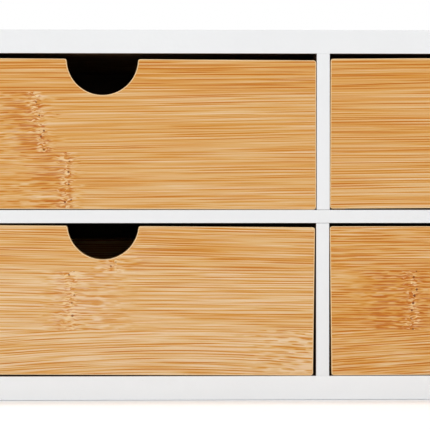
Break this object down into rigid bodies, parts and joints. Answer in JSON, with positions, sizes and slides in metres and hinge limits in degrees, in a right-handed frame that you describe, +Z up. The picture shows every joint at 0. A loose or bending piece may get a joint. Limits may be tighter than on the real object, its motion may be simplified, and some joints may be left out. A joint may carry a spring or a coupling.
{
  "type": "desktop mini drawers",
  "caption": "Low white wooden desktop case with two rows of two bamboo-fronted sliding drawers, each opened by a half-round finger notch in its top edge.",
  "frame": {"origin": "centre of the footprint, on the surface that the foot pads stand on", "axes": "+X to the right as seen from the front, -Y out of the drawer fronts, +Z up"},
  "size_m": [0.3424, 0.2, 0.1375],
  "materials": {
    "white_board": "satin",
    "bamboo_front": "satin",
    "bamboo_box": "matte",
    "drawer_bottom": "matte",
    "back_panel": "matte",
    "foot_pad": "matte",
    "dowel_beech": "matte",
    "steel_fixing": "satin"
  },
  "bodies": {
    "case": {"top_board": "white_board", "bottom_board": "white_board", "left_side_board": "white_board", "right_side_board": "white_board", "back_panel": "back_panel", "shelf": "white_board", "upper_divider": "white_board", "lower_divider": "white_board", "corner_dowels": "dowel_beech", "divider_pins": "steel_fixing", "back_panel_nails": "steel_fixing", "front_left_foot_pad": "foot_pad", "front_right_foot_pad": "foot_pad", "rear_left_foot_pad": "foot_pad", "rear_right_foot_pad": "foot_pad"},
    "upper_left_drawer": {"upper_left_drawer_front": "bamboo_front", "upper_left_drawer_left_side": "bamboo_box", "upper_left_drawer_right_side": "bamboo_box", "upper_left_drawer_back": "bamboo_box", "upper_left_drawer_bottom": "drawer_bottom", "upper_left_drawer_nails": "steel_fixing"},
    "upper_right_drawer": {"upper_right_drawer_front": "bamboo_front", "upper_right_drawer_left_side": "bamboo_box", "upper_right_drawer_right_side": "bamboo_box", "upper_right_drawer_back": "bamboo_box", "upper_right_drawer_bottom": "drawer_bottom", "upper_right_drawer_nails": "steel_fixing"},
    "lower_left_drawer": {"lower_left_drawer_front": "bamboo_front", "lower_left_drawer_left_side": "bamboo_box", "lower_left_drawer_right_side": "bamboo_box", "lower_left_drawer_back": "bamboo_box", "lower_left_drawer_bottom": "drawer_bottom", "lower_left_drawer_nails": "steel_fixing"},
    "lower_right_drawer": {"lower_right_drawer_front": "bamboo_front", "lower_right_drawer_left_side": "bamboo_box", "lower_right_drawer_right_side": "bamboo_box", "lower_right_drawer_back": "bamboo_box", "lower_right_drawer_bottom": "drawer_bottom", "lower_right_drawer_nails": "steel_fixing"}
  },
  "joints": [
    {"name": "upper_left_drawer_slide", "type": "slide", "parent": "case", "child": "upper_left_drawer", "axis": [0, -1, 0], "range_m": [0, 0.15]},
    {"name": "upper_right_drawer_slide", "type": "slide", "parent": "case", "child": "upper_right_drawer", "axis": [0, -1, 0], "range_m": [0, 0.15]},
    {"name": "lower_left_drawer_slide", "type": "slide", "parent": "case", "child": "lower_left_drawer", "axis": [0, -1, 0], "range_m": [0, 0.15]},
    {"name": "lower_right_drawer_slide", "type": "slide", "parent": "case", "child": "lower_right_drawer", "axis": [0, -1, 0], "range_m": [0, 0.15]}
  ]
}
